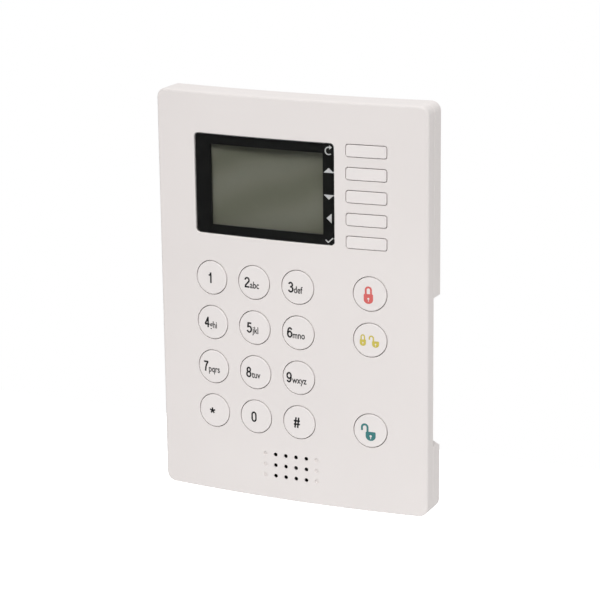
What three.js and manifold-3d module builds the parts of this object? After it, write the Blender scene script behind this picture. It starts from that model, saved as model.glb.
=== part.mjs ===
// Wall-mounted alarm keypad panel. Millimetres, +Z up, front facing -Y.
// The origin is on the wall plane y = 0, behind the centre of the case.
//
// The whole front is bowed about a vertical axis. A "depth" is measured from the bowed front face
// back towards the wall, so every layer of the case follows the same bow.

import * as THREE from 'three';
import { mergeVertices } from 'three/addons/utils/BufferGeometryUtils.js';
import Module from 'manifold-3d';

const wasm = await Module();
wasm.setup();

// ---- Driving dimensions ----

const GAP = 0.3; // clearance between neighbouring pieces
const OVERRUN = 1; // how far a cutting tool runs past the face that it opens
const ROOT = 0.5; // how far a boss or rib is sunk into the wall that carries it

const CASE = { width: 109, height: 155, depth: 20, bowRadius: 446, cornerRadius: 3.6, wall: 2 };
const EDGE = { sideRadius: 1.2, endRadius: 1 }; // rounding along the front edges
const PARTING_DEPTH = 5.7; // where the front cover meets the rear housing
const RIM_DEPTH = 12.6; // rear edge of the rim that shows from the side
const RIM_FLOOR = 1.8; // thickness of the rear housing behind the rim
const BACK = { width: 92, height: 132, cornerRadius: 3, wall: 2, floor: 2.2 }; // box against the wall

const WINDOW = { x: -9.7, z: 43, width: 57, height: 38, cornerRadius: 1.5, seatDepth: 1.5, lens: 1.1 };
const WINDOW_OPENING = { width: 52, height: 33 };
const DISPLAY = { x: -8.8, z: 42.9, width: 46, height: 30.5 }; // the part of the cell that shows

const KEY = { radius: 6.5, proud: 0.35, flange: 0.9, flangeDepth: 2.3, rearDepth: 3.3, segments: 20 };
const KEY_PITCH = { x: 18, z: 17.5 };
const FIRST_KEY = { x: -31.9, z: 7 }; // centre of key 1
const FUNCTION_COLUMN_X = 32.6;
const SOFT_KEY = { x: 31.3, topZ: 59.9, pitch: 8.5, width: 15.5, height: 4.5, cornerRadius: 0.8 };

const GRILLE = { x: 0.4, z: -63.9, pitch: 4.24, holeRadius: 0.78, columns: 6, rows: 3, dimpleDepth: 0.6 };
const SOUNDER = { radius: 8, ring: 1.2, frontY: -16.6 };

const BOARD = { width: 87, bottomZ: -72, topZ: 71.4, frontY: -11.4, rearY: -9.8 };
const BOARD_SCREW = { headRadius: 2, headHeight: 1.4, shankRadius: 1, length: 4.5 };
const BOSS = { radius: 2.6, boreDepth: 5.5 };
const BOSS_PLACES = [
  { x: -40, z: 69 },
  { x: 40, z: 69 },
  { x: -40, z: 18 },
  { x: 19, z: 10 },
  { x: -40, z: -60 },
  { x: 40, z: -60 },
];

const GRIP = { topZ: 5.7, bottomZ: -48.1, footFlare: 0.52, webDepth: 7.6, lining: 2 }; // side grips
const CABLE_ENTRY = { z: -12, width: 26, height: 16 };
const WALL_SLOT = { x: 30, z: 50, width: 3.8, length: 9 };
const CASE_SCREW = { headRadius: 2.1, headHeight: 1.2, shankRadius: 1, y: -11.4, length: 4.6 };
const HOOK = { x: 25, width: 8, thickness: 1.4, ribY: -12 };
const TERMINAL = { z: 8, width: 24, height: 9, rearY: -3.2, ways: 4, pitch: 5.4 };
const TAMPER = { x: 30, z: -22, size: 8, rearY: -6.5, stemRadius: 1.5, headRadius: 3.2, headHeight: 1 };
const SPRING = { coilRadius: 2.5, wireRadius: 0.25, turns: 3 };

// ---- Solids ----

// A closed geometry as a solid that can be joined and cut.
function solid(geometry) {
  geometry.deleteAttribute('normal');
  geometry.deleteAttribute('uv');
  const merged = mergeVertices(geometry, 1e-4);
  const mesh = new wasm.Mesh({
    numProp: 3,
    vertProperties: Float32Array.from(merged.attributes.position.array),
    triVerts: Uint32Array.from(merged.index.array),
  });
  return new wasm.Manifold(mesh);
}

function join(...solids) {
  return solids.reduce((sum, item) => sum.add(item));
}

function cut(body, ...tools) {
  return tools.reduce((rest, tool) => rest.subtract(tool), body);
}

function box([x0, x1], [y0, y1], [z0, z1]) {
  const geometry = new THREE.BoxGeometry(x1 - x0, y1 - y0, z1 - z0);
  geometry.translate((x0 + x1) / 2, (y0 + y1) / 2, (z0 + z1) / 2);
  return solid(geometry);
}

function span(centre, size) {
  return [centre - size / 2, centre + size / 2];
}

// A round pin along Y.
function pinY({ x, z }, radius, [y0, y1], segments) {
  const geometry = new THREE.CylinderGeometry(radius, radius, y1 - y0, segments);
  geometry.translate(x, (y0 + y1) / 2, z);
  return solid(geometry);
}

// A round pin along Z.
function pinZ({ x, y }, radius, [z0, z1], segments) {
  const geometry = new THREE.CylinderGeometry(radius, radius, z1 - z0, segments);
  geometry.rotateX(Math.PI / 2);
  geometry.translate(x, y, (z0 + z1) / 2);
  return solid(geometry);
}

// A rounded rectangle drawn as it is seen from the front.
function roundedRectangle({ x = 0, z = 0, width, height, cornerRadius }) {
  const right = x + width / 2 - cornerRadius;
  const left = x - width / 2 + cornerRadius;
  const top = z + height / 2 - cornerRadius;
  const bottom = z - height / 2 + cornerRadius;
  const shape = new THREE.Shape();
  shape.absarc(right, bottom, cornerRadius, -Math.PI / 2, 0, false);
  shape.absarc(right, top, cornerRadius, 0, Math.PI / 2, false);
  shape.absarc(left, top, cornerRadius, Math.PI / 2, Math.PI, false);
  shape.absarc(left, bottom, cornerRadius, Math.PI, 1.5 * Math.PI, false);
  return shape;
}

// A front-view shape given a thickness along Y.
function plate(shape, [y0, y1], curveSegments = 2) {
  const geometry = new THREE.ExtrudeGeometry(shape, { depth: y1 - y0, bevelEnabled: false, curveSegments });
  geometry.rotateX(Math.PI / 2);
  geometry.translate(0, y1, 0);
  return solid(geometry);
}

// A side-view shape, drawn in Y and Z, given a thickness along X.
function slab(shape, [x0, x1]) {
  const geometry = new THREE.ExtrudeGeometry(shape, { depth: x1 - x0, bevelEnabled: false });
  const alongX = new THREE.Vector3(1, 0, 0);
  const alongY = new THREE.Vector3(0, 1, 0);
  const alongZ = new THREE.Vector3(0, 0, 1);
  geometry.applyMatrix4(new THREE.Matrix4().makeBasis(alongY, alongZ, alongX));
  geometry.translate(x0, 0, 0);
  return solid(geometry);
}

// ---- The bow ----

const bowCentreY = CASE.bowRadius - CASE.depth;

function bowY(x, depth) {
  return bowCentreY - Math.sqrt((CASE.bowRadius - depth) ** 2 - x ** 2);
}

// Everything between two depths behind the front face, over a stretch of x.
function bowLayer([nearDepth, farDepth], [x0, x1] = span(0, CASE.width + OVERRUN), curveSegments = 6) {
  const down = 1.5 * Math.PI;
  const near = CASE.bowRadius - nearDepth;
  const far = CASE.bowRadius - farDepth;
  const shape = new THREE.Shape();
  shape.absarc(0, bowCentreY, near, down + Math.asin(x0 / near), down + Math.asin(x1 / near), false);
  shape.absarc(0, bowCentreY, far, down + Math.asin(x1 / far), down + Math.asin(x0 / far), true);
  const height = CASE.height + OVERRUN;
  const geometry = new THREE.ExtrudeGeometry(shape, { depth: height, bevelEnabled: false, curveSegments });
  geometry.translate(0, 0, -height / 2);
  return solid(geometry);
}

// The stretch of bow over a small piece, which needs fewer facets.
function bowLayerOver(depths, x, width) {
  return bowLayer(depths, span(x, width + OVERRUN), 1);
}

// ---- Outline of the case ----

// The case outline as seen from the front, set in by a wall.
function outline(inset) {
  return roundedRectangle({
    width: CASE.width - 2 * inset,
    height: CASE.height - 2 * inset,
    cornerRadius: CASE.cornerRadius - inset,
  });
}

const WHOLE_DEPTH = [-CASE.depth - OVERRUN, 0];

// The case seen from above: bowed front, rounded front corners, straight sides.
function planShape() {
  const half = CASE.width / 2;
  const radius = EDGE.sideRadius;
  const cornerX = half - radius;
  const cornerAngle = Math.asin(cornerX / (CASE.bowRadius - radius));
  const cornerY = bowCentreY - (CASE.bowRadius - radius) * Math.cos(cornerAngle);
  const down = 1.5 * Math.PI;
  const shape = new THREE.Shape();
  shape.moveTo(half, OVERRUN + EDGE.endRadius);
  shape.lineTo(-half, OVERRUN + EDGE.endRadius);
  shape.absarc(-cornerX, cornerY, radius, Math.PI, down - cornerAngle, false);
  shape.absarc(0, bowCentreY, CASE.bowRadius, down - cornerAngle, down, false);
  shape.absarc(0, bowCentreY, CASE.bowRadius, down, down + cornerAngle, false);
  shape.absarc(cornerX, cornerY, radius, down + cornerAngle, 2 * Math.PI, false);
  return shape;
}

// The case as one block, with all four front edges rounded.
function caseBlock() {
  const radius = EDGE.endRadius;
  const geometry = new THREE.ExtrudeGeometry(planShape(), {
    depth: CASE.height - 2 * radius,
    bevelThickness: radius,
    bevelSize: radius,
    bevelOffset: -radius,
    bevelSegments: 2,
    curveSegments: 3,
  });
  geometry.translate(0, 0, radius - CASE.height / 2);
  return solid(geometry).intersect(plate(outline(0), WHOLE_DEPTH, 3));
}

// ---- Key layout ----

const DIGIT_KEYS = ['1', '2', '3', '4', '5', '6', '7', '8', '9', 'star', '0', 'hash'];
const FUNCTION_KEYS = [
  { name: 'key_arm', row: 0 },
  { name: 'key_part_arm', row: 1 },
  { name: 'key_disarm', row: 3 },
];

function rowZ(row) {
  return FIRST_KEY.z - row * KEY_PITCH.z;
}

function digitPlace(index) {
  const column = index % 3;
  return { x: FIRST_KEY.x + column * KEY_PITCH.x, z: rowZ(Math.floor(index / 3)) };
}

const roundKeys = [
  ...DIGIT_KEYS.map((label, index) => ({ name: `key_${label}`, ...digitPlace(index) })),
  ...FUNCTION_KEYS.map(({ name, row }) => ({ name, x: FUNCTION_COLUMN_X, z: rowZ(row) })),
];

const softKeys = [0, 1, 2, 3, 4].map((row) => ({
  name: `soft_key_${row + 1}`,
  x: SOFT_KEY.x,
  z: SOFT_KEY.topZ - row * SOFT_KEY.pitch,
}));

function roundKeyPrism(place, margin) {
  return pinY(place, KEY.radius + margin, WHOLE_DEPTH, KEY.segments);
}

function softKeyPrism({ x, z }, margin) {
  const shape = roundedRectangle({
    x,
    z,
    width: SOFT_KEY.width + 2 * margin,
    height: SOFT_KEY.height + 2 * margin,
    cornerRadius: SOFT_KEY.cornerRadius + margin,
  });
  return plate(shape, WHOLE_DEPTH, 1);
}

// A key cap: its front stands a little proud, and a flange behind the cover keeps it in.
function keyCap(prism, place, width) {
  const flangeWidth = width + 2 * KEY.flange;
  const cap = prism(place, 0).intersect(bowLayerOver([-KEY.proud, KEY.rearDepth], place.x, width));
  const flangeDepths = [KEY.flangeDepth, KEY.rearDepth];
  const flange = prism(place, KEY.flange).intersect(bowLayerOver(flangeDepths, place.x, flangeWidth));
  return cap.add(flange);
}

// ---- Front cover ----

function windowSeat() {
  const clearance = 0.2;
  const seat = {
    ...WINDOW,
    width: WINDOW.width + 2 * clearance,
    height: WINDOW.height + 2 * clearance,
    cornerRadius: WINDOW.cornerRadius + clearance,
  };
  const recess = plate(roundedRectangle(seat), WHOLE_DEPTH).intersect(bowLayer([-OVERRUN, WINDOW.seatDepth]));
  const opening = box(
    span(DISPLAY.x, WINDOW_OPENING.width),
    [-CASE.depth - OVERRUN, BOARD.frontY],
    span(DISPLAY.z, WINDOW_OPENING.height),
  );
  return recess.add(opening);
}

// Sounder holes: the outer column on each side is only dimples.
function grilleHoles() {
  const holes = [];
  for (let column = 0; column < GRILLE.columns; column += 1) {
    const x = GRILLE.x + (column - (GRILLE.columns - 1) / 2) * GRILLE.pitch;
    const isDimple = column === 0 || column === GRILLE.columns - 1;
    const depth = isDimple ? GRILLE.dimpleDepth : CASE.wall + OVERRUN;
    for (let row = 0; row < GRILLE.rows; row += 1) {
      const z = GRILLE.z + (row - (GRILLE.rows - 1) / 2) * GRILLE.pitch;
      holes.push(pinY({ x, z }, GRILLE.holeRadius, [-CASE.depth - OVERRUN, bowY(x, depth)], 8));
    }
  }
  return holes;
}

const bossEndY = BOARD.frontY - GAP;

function boss(place) {
  return pinY(place, BOSS.radius, [bowY(place.x, CASE.wall - ROOT), bossEndY], 12);
}

function bossBore(place) {
  const radius = BOARD_SCREW.shankRadius + GAP;
  return pinY(place, radius, [bossEndY - BOSS.boreDepth, bossEndY + OVERRUN], 8);
}

const innerTopZ = CASE.height / 2 - CASE.wall;

// Lug inside the bottom wall, which the case screw threads into.
function screwLug() {
  const width = span(0, 10);
  const frontY = bowY(0, CASE.wall - ROOT);
  const thickness = 2.8;
  const low = -innerTopZ + GAP;
  const lugEndY = bowY(0, RIM_DEPTH - RIM_FLOOR) - GAP;
  const lug = box(width, [frontY, lugEndY], [low, low + thickness]);
  const foot = box(width, [frontY, bowY(0, PARTING_DEPTH)], [-innerTopZ - ROOT, low + thickness]);
  const bore = pinZ({ x: 0, y: CASE_SCREW.y }, CASE_SCREW.shankRadius + GAP, span(low, 4 * thickness), 10);
  return cut(join(lug, foot), bore);
}

// One of the two hooks that reach behind a rib inside the top wall of the rear housing.
function hook(x) {
  const width = span(x, HOOK.width);
  const armTop = innerTopZ - 2.2;
  const barbY = HOOK.ribY + HOOK.thickness + GAP;
  const armEndY = barbY + HOOK.thickness;
  const arm = box(width, [bowY(x, CASE.wall - ROOT), armEndY], [armTop - HOOK.thickness, armTop]);
  const barb = box(width, [barbY, armEndY], [armTop - ROOT, innerTopZ - GAP]);
  return arm.add(barb);
}

function frontCover() {
  const cavity = plate(outline(CASE.wall), WHOLE_DEPTH, 3);
  const shell = cut(
    caseBlock().intersect(bowLayer([-OVERRUN, PARTING_DEPTH])),
    cavity.intersect(bowLayer([CASE.wall, PARTING_DEPTH + OVERRUN])),
  );
  const furnished = join(shell, ...BOSS_PLACES.map(boss), screwLug(), hook(-HOOK.x), hook(HOOK.x));
  return cut(
    furnished,
    windowSeat(),
    ...BOSS_PLACES.map(bossBore),
    ...roundKeys.map((place) => roundKeyPrism(place, GAP).intersect(bowLayer([-OVERRUN, CASE.wall + OVERRUN]))),
    ...softKeys.map((place) => softKeyPrism(place, GAP).intersect(bowLayer([-OVERRUN, CASE.wall + OVERRUN]))),
    ...grilleHoles(),
  );
}

// ---- Rear housing ----

// The side view of a grip: it widens towards the wall.
function gripShape() {
  const frontY = bowY(CASE.width / 2, PARTING_DEPTH);
  const shape = new THREE.Shape();
  shape.moveTo(frontY, GRIP.bottomZ);
  shape.lineTo(0, GRIP.bottomZ + GRIP.footFlare * frontY);
  shape.lineTo(0, GRIP.topZ);
  shape.lineTo(frontY, GRIP.topZ);
  return shape;
}

// Finger space beside the back box, and the notch that opens it through the side wall.
function gripHollow() {
  const outerX = CASE.width / 2 + OVERRUN;
  const innerWallX = CASE.width / 2 - CASE.wall - GAP;
  const pocket = slab(gripShape(), [BACK.width / 2, outerX]);
  const notch = slab(gripShape(), [innerWallX, outerX]);
  return pocket.intersect(bowLayer([GRIP.webDepth, CASE.depth])).add(notch);
}

// Walls that close the finger space off from the inside of the case.
function gripLining() {
  const footDrop = GRIP.footFlare * (RIM_DEPTH - PARTING_DEPTH);
  const block = box(
    [BACK.width / 2 - BACK.wall, CASE.width / 2 - CASE.wall],
    [-CASE.depth, 0],
    [GRIP.bottomZ - footDrop - GRIP.lining, GRIP.topZ + GRIP.lining],
  );
  return block.intersect(bowLayer([PARTING_DEPTH + GAP, RIM_DEPTH]));
}

function mirroredX(body) {
  return body.add(body.mirror([1, 0, 0]));
}

function backBlock(inset, depths) {
  const shape = roundedRectangle({
    width: BACK.width - 2 * inset,
    height: BACK.height - 2 * inset,
    cornerRadius: BACK.cornerRadius - inset,
  });
  return plate(shape, depths);
}

function hookRib(x) {
  const ribBottom = innerTopZ - 1.8;
  return box(span(x, HOOK.width + 4), [HOOK.ribY, HOOK.ribY + HOOK.thickness], [ribBottom, innerTopZ + ROOT]);
}

function caseScrewHole() {
  const place = { x: 0, y: CASE_SCREW.y };
  const underside = -CASE.height / 2;
  const headSeat = underside + CASE_SCREW.headHeight + GAP;
  return join(
    pinZ(place, CASE_SCREW.shankRadius + GAP, [underside - OVERRUN, -innerTopZ + OVERRUN], 10),
    pinZ(place, CASE_SCREW.headRadius + GAP, [underside - OVERRUN, headSeat], 12),
  );
}

// Slots for the wall screws and the opening for the cable, all through the floor.
function floorOpenings() {
  const through = [-BACK.floor - OVERRUN, OVERRUN];
  const slots = [-1, 1].flatMap((side) => [-1, 1].map((end) => roundedRectangle({
    x: side * WALL_SLOT.x,
    z: end * WALL_SLOT.z,
    width: WALL_SLOT.width,
    height: WALL_SLOT.length,
    cornerRadius: WALL_SLOT.width / 2 - 0.01,
  })));
  const cable = roundedRectangle({ ...CABLE_ENTRY, cornerRadius: 2 });
  return [...slots, cable].map((shape) => plate(shape, through, 2));
}

function rearHousing() {
  const rim = plate(outline(0), WHOLE_DEPTH, 3).intersect(bowLayer([PARTING_DEPTH + GAP, RIM_DEPTH]));
  const rimCavity = plate(outline(CASE.wall), WHOLE_DEPTH, 3)
    .intersect(bowLayer([PARTING_DEPTH, RIM_DEPTH - RIM_FLOOR]));
  const backFront = bowY(0, RIM_DEPTH - RIM_FLOOR);
  const shell = cut(
    join(rim, backBlock(0, [backFront, 0])),
    rimCavity,
    backBlock(BACK.wall, [backFront - OVERRUN, -BACK.floor]),
  );
  const furnished = join(shell, mirroredX(gripLining()), hookRib(-HOOK.x), hookRib(HOOK.x));
  return cut(furnished, mirroredX(gripHollow()), caseScrewHole(), ...floorOpenings());
}

// ---- Display ----

const FRAME = { width: 52, height: 37, frontY: -16.2, lip: 0.5, wall: 1.3 };
const CELL = { width: 48.8, height: 33.8, frontY: -15.4, thickness: 2 };
const BACKLIGHT_Y = [CELL.frontY + CELL.thickness + GAP, BOARD.frontY - GAP];
const STRIP = { width: 44, height: 2.2 };

function displayWindow() {
  return plate(roundedRectangle(WINDOW), WHOLE_DEPTH).intersect(bowLayer([0.1, 0.1 + WINDOW.lens]));
}

function displayBlock(width, height, depths) {
  return box(span(DISPLAY.x, width), depths, span(DISPLAY.z, height));
}

function displayFrame() {
  const inside = 2 * FRAME.wall;
  const rearY = BOARD.frontY - GAP;
  return cut(
    displayBlock(FRAME.width, FRAME.height, [FRAME.frontY, rearY]),
    displayBlock(DISPLAY.width + 1, DISPLAY.height + 1, [FRAME.frontY - OVERRUN, rearY]),
    displayBlock(FRAME.width - inside, FRAME.height - inside, [FRAME.frontY + FRAME.lip, rearY + OVERRUN]),
  );
}

function displayCell() {
  return displayBlock(CELL.width, CELL.height, [CELL.frontY, CELL.frontY + CELL.thickness]);
}

const cellBottomZ = DISPLAY.z - CELL.height / 2;

function connectorStrip() {
  return box(span(DISPLAY.x, STRIP.width), BACKLIGHT_Y, [cellBottomZ, cellBottomZ + STRIP.height]);
}

function backlight() {
  const bottomZ = cellBottomZ + STRIP.height + GAP;
  return box(span(DISPLAY.x, CELL.width), BACKLIGHT_Y, [bottomZ, DISPLAY.z + CELL.height / 2]);
}

// ---- Board and what is on it ----

function mainBoard() {
  const height = BOARD.topZ - BOARD.bottomZ;
  const z = (BOARD.topZ + BOARD.bottomZ) / 2;
  const shape = roundedRectangle({ z, width: BOARD.width, height, cornerRadius: 2 });
  const depths = [BOARD.frontY, BOARD.rearY];
  const holeDepths = [BOARD.frontY - OVERRUN, BOARD.rearY + OVERRUN];
  const holes = BOSS_PLACES.map((place) => pinY(place, BOARD_SCREW.shankRadius + GAP, holeDepths, 8));
  return cut(plate(shape, depths, 1), ...holes);
}

// Where the parts behind the board start.
const partsY = BOARD.rearY + GAP;

function boardScrew(place) {
  const slotWidth = 0.6;
  const headEnd = partsY + BOARD_SCREW.headHeight;
  const head = pinY(place, BOARD_SCREW.headRadius, [partsY, headEnd], 12);
  const shank = pinY(place, BOARD_SCREW.shankRadius, [partsY - BOARD_SCREW.length, partsY + ROOT], 8);
  const slotDepths = [headEnd - slotWidth, headEnd + OVERRUN];
  const upright = box(span(place.x, slotWidth), slotDepths, span(place.z, 2.4));
  const across = box(span(place.x, 2.4), slotDepths, span(place.z, slotWidth));
  return cut(head.add(shank), upright, across);
}

function caseScrew() {
  const place = { x: 0, y: CASE_SCREW.y };
  const headBottom = -CASE.height / 2 + 0.1;
  const headTop = headBottom + CASE_SCREW.headHeight;
  const head = pinZ(place, CASE_SCREW.headRadius, [headBottom, headTop], 12);
  const shank = pinZ(place, CASE_SCREW.shankRadius, [headBottom + ROOT, headBottom + CASE_SCREW.length], 8);
  const slot = box(span(0, 3.6), span(CASE_SCREW.y, 0.8), [headBottom - OVERRUN, headBottom + 0.6]);
  return cut(head.add(shank), slot);
}

// Silicone mat: a sheet on the board with one post behind each key.
function keymat() {
  const depths = [BOARD.frontY - GAP - 1.2, BOARD.frontY - GAP];
  const sheet = join(
    box([-41, 41], depths, [rowZ(3) - 8, rowZ(0) + 8]),
    box([22, 41], depths, [rowZ(0), SOFT_KEY.topZ + 4]),
  );
  const bossClearance = BOSS_PLACES.map((place) => pinY(place, BOSS.radius + GAP, WHOLE_DEPTH, 8));
  const rootY = depths[0] + ROOT;
  const postFront = ({ x }) => bowLayerOver([KEY.rearDepth + GAP, CASE.depth / 2], x, KEY.radius);
  const roundPosts = roundKeys.map((place) => (
    pinY(place, KEY.radius / 2, [-CASE.depth, rootY], 8).intersect(postFront(place))
  ));
  const softPosts = softKeys.map((place) => (
    box(span(place.x, KEY.radius), [-CASE.depth, rootY], span(place.z, 2)).intersect(postFront(place))
  ));
  return cut(join(sheet, ...roundPosts, ...softPosts), ...bossClearance);
}

const sounderPlace = { x: GRILLE.x, z: GRILLE.z };

function sounder() {
  return pinY(sounderPlace, SOUNDER.radius, [SOUNDER.frontY, BOARD.frontY - GAP], 20);
}

function sounderGasket() {
  const depths = [bowY(SOUNDER.radius, CASE.wall + GAP), SOUNDER.frontY - GAP];
  const cutDepths = [depths[0] - OVERRUN, depths[1] + OVERRUN];
  const ring = pinY(sounderPlace, SOUNDER.radius, depths, 20);
  return cut(ring, pinY(sounderPlace, SOUNDER.radius - SOUNDER.ring, cutDepths, 20));
}

function microcontroller() {
  return box(span(-24, 12), [partsY, partsY + 1.4], span(-30, 12));
}

function bufferCapacitor() {
  const radius = 3;
  return pinZ({ x: 26, y: partsY + radius }, radius, [30, 42], 12);
}

const terminalPlaces = Array.from({ length: TERMINAL.ways }, (_, way) => ({
  x: (way - (TERMINAL.ways - 1) / 2) * TERMINAL.pitch,
  z: TERMINAL.z,
}));

// Clamp block: screws are reached from behind, and wires go in from below.
function terminalBlock() {
  const bottomZ = TERMINAL.z - TERMINAL.height / 2;
  const body = box(span(0, TERMINAL.width), [partsY, TERMINAL.rearY], [bottomZ, bottomZ + TERMINAL.height]);
  const wells = terminalPlaces.map((place) => pinY(place, 1.8, [TERMINAL.rearY - 3.4, 0], 10));
  const wireHoles = terminalPlaces.map(({ x }) => (
    box(span(x, 2.6), [partsY + 0.8, partsY + 2.6], [bottomZ - OVERRUN, TERMINAL.z])
  ));
  return cut(body, ...wells, ...wireHoles);
}

function terminalScrew(place) {
  const headY = TERMINAL.rearY - 0.8;
  const body = pinY(place, 1.4, [TERMINAL.rearY - 3, headY], 10);
  return cut(body, box(span(place.x, 3), [headY - 0.6, headY + OVERRUN], span(place.z, 0.5)));
}

// ---- Tamper contact: a sprung plunger that the rear housing holds down ----

const plungerEndY = -BACK.floor - GAP;
const plungerHeadY = plungerEndY - TAMPER.headHeight;
const boreEndY = TAMPER.rearY - 2.2;

function tamperSwitch() {
  const body = box(span(TAMPER.x, TAMPER.size), [partsY, TAMPER.rearY], span(TAMPER.z, TAMPER.size));
  return cut(body, pinY(TAMPER, TAMPER.stemRadius + GAP, [boreEndY, TAMPER.rearY + OVERRUN], 10));
}

function tamperPlunger() {
  const travelRoom = 1.3;
  return join(
    pinY(TAMPER, TAMPER.stemRadius, [boreEndY + travelRoom, plungerHeadY + ROOT], 10),
    pinY(TAMPER, TAMPER.headRadius, [plungerHeadY, plungerEndY], 14),
  );
}

class Helix extends THREE.Curve {
  constructor(startY, endY) {
    super();
    this.startY = startY;
    this.endY = endY;
  }

  getPoint(t, target = new THREE.Vector3()) {
    const angle = 2 * Math.PI * SPRING.turns * t;
    const x = TAMPER.x + SPRING.coilRadius * Math.cos(angle);
    const z = TAMPER.z + SPRING.coilRadius * Math.sin(angle);
    return target.set(x, THREE.MathUtils.lerp(this.startY, this.endY, t), z);
  }
}

function tamperSpring() {
  const clear = SPRING.wireRadius + GAP;
  const wire = new THREE.Shape().absarc(0, 0, SPRING.wireRadius, 0, 2 * Math.PI, false);
  const geometry = new THREE.ExtrudeGeometry(wire, {
    extrudePath: new Helix(TAMPER.rearY + clear, plungerHeadY - clear),
    steps: 12 * SPRING.turns,
    curveSegments: 3,
    bevelEnabled: false,
  });
  return solid(geometry);
}

// ---- Materials ----

function finish(color, roughness, metalness = 0) {
  return new THREE.MeshStandardMaterial({ color, roughness, metalness });
}

const whitePlastic = finish(0xe8e2e0, 0.5);
const keyPlastic = finish(0xebe6e4, 0.45);
const clearAcrylic = new THREE.MeshStandardMaterial({
  color: 0x181818,
  roughness: 0.08,
  metalness: 0,
  transparent: true,
  opacity: 0.4,
});
const displayGlass = finish(0x6c6c61, 0.2);
const blackPlastic = finish(0x1c1c1e, 0.6);
const lightGuide = finish(0xd8dccb, 0.4);
const greySilicone = finish(0xb9bab8, 0.8);
const blackFoam = finish(0x2a2a2a, 0.95);
const boardGreen = finish(0x2f6b45, 0.5);
const terminalGreen = finish(0x3a8f58, 0.5);
const zincSteel = finish(0xc2c4c6, 0.35, 1);
const aluminium = finish(0xc9ccd0, 0.4, 1);

// ---- Assembly ----

function piece(name, body, material) {
  const { vertProperties, triVerts } = body.getMesh();
  const geometry = new THREE.BufferGeometry();
  geometry.setAttribute('position', new THREE.BufferAttribute(Float32Array.from(vertProperties), 3));
  geometry.setIndex(new THREE.BufferAttribute(Uint32Array.from(triVerts), 1));
  geometry.computeVertexNormals();
  const mesh = new THREE.Mesh(geometry, material);
  mesh.name = name;
  return mesh;
}

const keypad = new THREE.Group();

keypad.add(
  piece('front_cover', frontCover(), whitePlastic),
  piece('rear_housing', rearHousing(), whitePlastic),
  piece('display_window', displayWindow(), clearAcrylic),
  piece('lcd_frame', displayFrame(), blackPlastic),
  piece('lcd_glass', displayCell(), displayGlass),
  piece('lcd_backlight', backlight(), lightGuide),
  piece('lcd_connector_strip', connectorStrip(), greySilicone),
  piece('keymat', keymat(), greySilicone),
  piece('main_board', mainBoard(), boardGreen),
  piece('microcontroller', microcontroller(), blackPlastic),
  piece('buffer_capacitor', bufferCapacitor(), aluminium),
  piece('sounder', sounder(), blackPlastic),
  piece('sounder_gasket', sounderGasket(), blackFoam),
  piece('terminal_block', terminalBlock(), terminalGreen),
  piece('tamper_switch', tamperSwitch(), blackPlastic),
  piece('tamper_plunger', tamperPlunger(), whitePlastic),
  piece('tamper_spring', tamperSpring(), zincSteel),
  piece('case_screw', caseScrew(), zincSteel),
);

for (const place of roundKeys) {
  keypad.add(piece(place.name, keyCap(roundKeyPrism, place, 2 * KEY.radius), keyPlastic));
}

for (const place of softKeys) {
  keypad.add(piece(place.name, keyCap(softKeyPrism, place, SOFT_KEY.width), keyPlastic));
}

BOSS_PLACES.forEach((place, index) => {
  keypad.add(piece(`board_screw_${index + 1}`, boardScrew(place), zincSteel));
});

terminalPlaces.forEach((place, index) => {
  keypad.add(piece(`terminal_screw_${index + 1}`, terminalScrew(place), zincSteel));
});

export default keypad;
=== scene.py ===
import math

import bmesh
import bpy
import numpy as np
from mathutils import Matrix, Vector, geometry


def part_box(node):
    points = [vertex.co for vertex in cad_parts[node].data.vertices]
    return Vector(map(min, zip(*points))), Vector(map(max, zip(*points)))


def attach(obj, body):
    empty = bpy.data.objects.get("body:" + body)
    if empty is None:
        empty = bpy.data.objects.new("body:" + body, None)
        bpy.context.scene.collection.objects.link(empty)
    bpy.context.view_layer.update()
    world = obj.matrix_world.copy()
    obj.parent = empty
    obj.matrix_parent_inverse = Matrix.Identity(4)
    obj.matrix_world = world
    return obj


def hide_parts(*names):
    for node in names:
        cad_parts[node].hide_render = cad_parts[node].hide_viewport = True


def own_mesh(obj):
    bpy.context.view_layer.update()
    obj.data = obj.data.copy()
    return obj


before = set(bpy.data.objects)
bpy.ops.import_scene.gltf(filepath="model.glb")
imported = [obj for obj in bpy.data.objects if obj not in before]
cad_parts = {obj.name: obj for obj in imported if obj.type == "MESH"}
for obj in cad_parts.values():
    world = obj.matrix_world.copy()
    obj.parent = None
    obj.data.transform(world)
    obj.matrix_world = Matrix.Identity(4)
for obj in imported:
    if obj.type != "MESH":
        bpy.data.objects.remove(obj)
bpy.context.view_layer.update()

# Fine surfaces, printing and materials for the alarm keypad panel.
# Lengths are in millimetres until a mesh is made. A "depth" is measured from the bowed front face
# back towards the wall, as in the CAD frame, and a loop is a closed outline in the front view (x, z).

MM = 0.001
RIGHT_ANGLE = math.pi / 2


def node_box(name):
    """Lowest and highest corner of a CAD node, in millimetres."""
    low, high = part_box(name)
    return low / MM, high / MM


def node_centre(name):
    low, high = node_box(name)
    return (low + high) / 2


# ---------------------------------------------------------------- sizes

# Case and parting line
COVER_LOW, COVER_HIGH = node_box("front_cover")
CASE_WIDTH = COVER_HIGH.x - COVER_LOW.x
CASE_HEIGHT = COVER_HIGH.z - COVER_LOW.z
CASE_DEPTH = -COVER_LOW.y
BOW_RADIUS = 446
CORNER_RADIUS = 3.6
WALL = 2.0
EDGE_RADIUS = 1.0
PARTING_DEPTH = 5.7
PARTING_SEAM = 0.08
PARTING_CHAMFER = 0.15
RIM_DEPTH = 12.6
RIM_FLOOR = 1.8
RIM_EDGE = 0.7
MIN_CORNER = 0.02
SAME_POINT = 0.002  # points nearer than this are joined

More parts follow.
